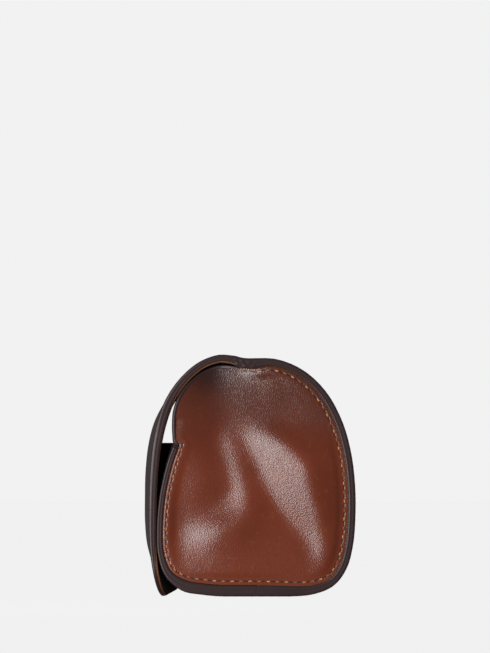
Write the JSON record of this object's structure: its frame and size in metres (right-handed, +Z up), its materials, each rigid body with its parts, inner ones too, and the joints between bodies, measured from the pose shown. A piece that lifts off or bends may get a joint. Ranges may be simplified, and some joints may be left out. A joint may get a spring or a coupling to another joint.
{
  "type": "headphone carrying case",
  "caption": "Soft leather pouch with gusseted ends and a wrap-over flap that carries a folded pair of headphones; the flap folds up and back on its crease to open.",
  "frame": {"origin": "on the floor, under the centre of the closed case's bounding box", "axes": "+Z up, -Y out of the front under the flap, +X along the case's width from its left gusset to its right one, which the picture faces"},
  "size_m": [0.1722, 0.096, 0.1099],
  "materials": {
    "outer_leather": "satin dark purple-brown leather with painted edges",
    "gusset_leather": "glossy brown pebbled leather",
    "lining_leather": "matt dark brown split leather",
    "gusset_lining": "matt dark woven lining",
    "board": "matt stiff sheet, hidden",
    "thread": "waxed twisted thread, light orange tan",
    "magnet": "nickel plated, hidden"
  },
  "bodies": {
    "case_body": {"wrap_leather": "outer_leather", "wrap_lining": "lining_leather", "base_board": "board", "gusset_left": "gusset_leather", "gusset_right": "gusset_leather", "gusset_lining_left": "gusset_lining", "gusset_lining_right": "gusset_lining", "seam_thread_left": "thread", "seam_thread_right": "thread", "mouth_thread": "thread", "body_magnets": "magnet"},
    "flap": {"flap_leather": "outer_leather", "flap_lining": "lining_leather", "flap_thread": "thread", "flap_magnets": "magnet"}
  },
  "joints": [
    {"name": "flap_hinge", "type": "hinge", "parent": "case_body", "child": "flap", "pos_m": [0, -0.00215, 0.1083], "axis": [-1, 0, 0], "range_deg": [0, 150]}
  ]
}
